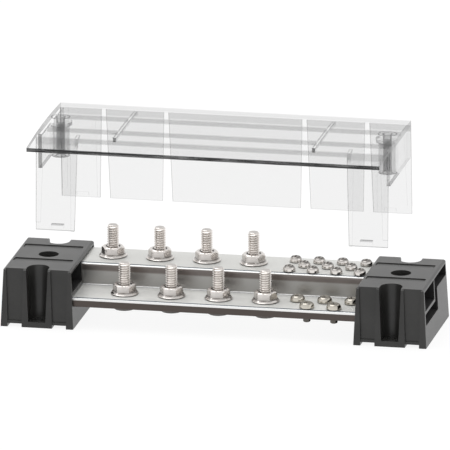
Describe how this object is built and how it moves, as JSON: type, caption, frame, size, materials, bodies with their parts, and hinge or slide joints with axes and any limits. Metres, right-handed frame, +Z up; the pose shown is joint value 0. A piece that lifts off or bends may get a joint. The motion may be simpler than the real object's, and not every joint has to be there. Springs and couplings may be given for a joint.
{
  "type": "two-level bus bar",
  "caption": "Two-level power bus bar: a stepped tinned bar with threaded studs and terminal screws, held by two moulded end blocks under a clear lift-off cover.",
  "frame": {"origin": "on the mounting surface, midway between the mounting screw holes of the two end blocks", "axes": "+X along the bar, +Z up from the mounting surface, +Y to the high level at the back"},
  "size_m": [0.23, 0.0879, 0.1078],
  "materials": {
    "tinned_bar": "bright tin plate on copper",
    "dark_moulding": "fine satin mould texture",
    "steel_stud": "stainless, rolled thread",
    "steel_nut": "stainless, cold formed",
    "steel_screw": "stainless, cold formed",
    "clear_cover": "clear moulded, polished"
  },
  "bodies": {
    "base": {"bus_bar": "tinned_bar", "left_end_block": "dark_moulding", "right_end_block": "dark_moulding", "upper_stud_1": "steel_stud", "upper_stud_2": "steel_stud", "upper_stud_3": "steel_stud", "upper_stud_4": "steel_stud", "lower_stud_1": "steel_stud", "lower_stud_2": "steel_stud", "lower_stud_3": "steel_stud", "lower_stud_4": "steel_stud"},
    "cover": {"cover": "clear_cover"},
    "upper_nut_1": {"upper_nut_1": "steel_nut"},
    "upper_nut_2": {"upper_nut_2": "steel_nut"},
    "upper_nut_3": {"upper_nut_3": "steel_nut"},
    "upper_nut_4": {"upper_nut_4": "steel_nut"},
    "lower_nut_1": {"lower_nut_1": "steel_nut"},
    "lower_nut_2": {"lower_nut_2": "steel_nut"},
    "lower_nut_3": {"lower_nut_3": "steel_nut"},
    "lower_nut_4": {"lower_nut_4": "steel_nut"},
    "upper_screw_1": {"upper_screw_1": "steel_screw"},
    "upper_screw_2": {"upper_screw_2": "steel_screw"},
    "upper_screw_3": {"upper_screw_3": "steel_screw"},
    "upper_screw_4": {"upper_screw_4": "steel_screw"},
    "upper_screw_5": {"upper_screw_5": "steel_screw"},
    "upper_screw_6": {"upper_screw_6": "steel_screw"},
    "upper_screw_7": {"upper_screw_7": "steel_screw"},
    "upper_screw_8": {"upper_screw_8": "steel_screw"},
    "upper_screw_9": {"upper_screw_9": "steel_screw"},
    "upper_screw_10": {"upper_screw_10": "steel_screw"},
    "upper_screw_11": {"upper_screw_11": "steel_screw"},
    "lower_screw_1": {"lower_screw_1": "steel_screw"},
    "lower_screw_2": {"lower_screw_2": "steel_screw"},
    "lower_screw_3": {"lower_screw_3": "steel_screw"},
    "lower_screw_4": {"lower_screw_4": "steel_screw"},
    "lower_screw_5": {"lower_screw_5": "steel_screw"}
  },
  "joints": [
    {"name": "cover_lift", "type": "slide", "parent": "base", "child": "cover", "axis": [0, 0, 1], "range_m": [-0.0546, 0]},
    {"name": "upper_nut_1_turn", "type": "hinge", "parent": "base", "child": "upper_nut_1", "pos_m": [-0.0632, 0.0134, 0.0288], "axis": [0, 0, 1], "continuous": true},
    {"name": "upper_nut_2_turn", "type": "hinge", "parent": "base", "child": "upper_nut_2", "pos_m": [-0.0378, 0.0134, 0.0288], "axis": [0, 0, 1], "continuous": true},
    {"name": "upper_nut_3_turn", "type": "hinge", "parent": "base", "child": "upper_nut_3", "pos_m": [-0.0124, 0.0134, 0.0288], "axis": [0, 0, 1], "continuous": true},
    {"name": "upper_nut_4_turn", "type": "hinge", "parent": "base", "child": "upper_nut_4", "pos_m": [0.013, 0.0134, 0.0288], "axis": [0, 0, 1], "continuous": true},
    {"name": "lower_nut_1_turn", "type": "hinge", "parent": "base", "child": "lower_nut_1", "pos_m": [-0.051, -0.015, 0.0168], "axis": [0, 0, 1], "continuous": true},
    {"name": "lower_nut_2_turn", "type": "hinge", "parent": "base", "child": "lower_nut_2", "pos_m": [-0.0256, -0.015, 0.0168], "axis": [0, 0, 1], "continuous": true},
    {"name": "lower_nut_3_turn", "type": "hinge", "parent": "base", "child": "lower_nut_3", "pos_m": [-0.0002, -0.015, 0.0168], "axis": [0, 0, 1], "continuous": true},
    {"name": "lower_nut_4_turn", "type": "hinge", "parent": "base", "child": "lower_nut_4", "pos_m": [0.0252, -0.015, 0.0168], "axis": [0, 0, 1], "continuous": true},
    {"name": "upper_screw_1_turn", "type": "hinge", "parent": "base", "child": "upper_screw_1", "pos_m": [0.0344, 0.0202, 0.0288], "axis": [0, 0, 1], "continuous": true},
    {"name": "upper_screw_2_turn", "type": "hinge", "parent": "base", "child": "upper_screw_2", "pos_m": [0.0471, 0.0202, 0.0288], "axis": [0, 0, 1], "continuous": true},
    {"name": "upper_screw_3_turn", "type": "hinge", "parent": "base", "child": "upper_screw_3", "pos_m": [0.0598, 0.0202, 0.0288], "axis": [0, 0, 1], "continuous": true},
    {"name": "upper_screw_4_turn", "type": "hinge", "parent": "base", "child": "upper_screw_4", "pos_m": [0.0725, 0.0202, 0.0288], "axis": [0, 0, 1], "continuous": true},
    {"name": "upper_screw_5_turn", "type": "hinge", "parent": "base", "child": "upper_screw_5", "pos_m": [0.04075, 0.0114, 0.0288], "axis": [0, 0, 1], "continuous": true},
    {"name": "upper_screw_6_turn", "type": "hinge", "parent": "base", "child": "upper_screw_6", "pos_m": [0.05345, 0.0114, 0.0288], "axis": [0, 0, 1], "continuous": true},
    {"name": "upper_screw_7_turn", "type": "hinge", "parent": "base", "child": "upper_screw_7", "pos_m": [0.06615, 0.0114, 0.0288], "axis": [0, 0, 1], "continuous": true},
    {"name": "upper_screw_8_turn", "type": "hinge", "parent": "base", "child": "upper_screw_8", "pos_m": [0.0344, 0.0026, 0.0288], "axis": [0, 0, 1], "continuous": true},
    {"name": "upper_screw_9_turn", "type": "hinge", "parent": "base", "child": "upper_screw_9", "pos_m": [0.0471, 0.0026, 0.0288], "axis": [0, 0, 1], "continuous": true},
    {"name": "upper_screw_10_turn", "type": "hinge", "parent": "base", "child": "upper_screw_10", "pos_m": [0.0598, 0.0026, 0.0288], "axis": [0, 0, 1], "continuous": true},
    {"name": "upper_screw_11_turn", "type": "hinge", "parent": "base", "child": "upper_screw_11", "pos_m": [0.0725, 0.0026, 0.0288], "axis": [0, 0, 1], "continuous": true},
    {"name": "lower_screw_1_turn", "type": "hinge", "parent": "base", "child": "lower_screw_1", "pos_m": [0.0418, -0.0115, 0.0168], "axis": [0, 0, 1], "continuous": true},
    {"name": "lower_screw_2_turn", "type": "hinge", "parent": "base", "child": "lower_screw_2", "pos_m": [0.0564, -0.0115, 0.0168], "axis": [0, 0, 1], "continuous": true},
    {"name": "lower_screw_3_turn", "type": "hinge", "parent": "base", "child": "lower_screw_3", "pos_m": [0.071, -0.0115, 0.0168], "axis": [0, 0, 1], "continuous": true},
    {"name": "lower_screw_4_turn", "type": "hinge", "parent": "base", "child": "lower_screw_4", "pos_m": [0.0491, -0.0232, 0.0168], "axis": [0, 0, 1], "continuous": true},
    {"name": "lower_screw_5_turn", "type": "hinge", "parent": "base", "child": "lower_screw_5", "pos_m": [0.0637, -0.0232, 0.0168], "axis": [0, 0, 1], "continuous": true}
  ]
}
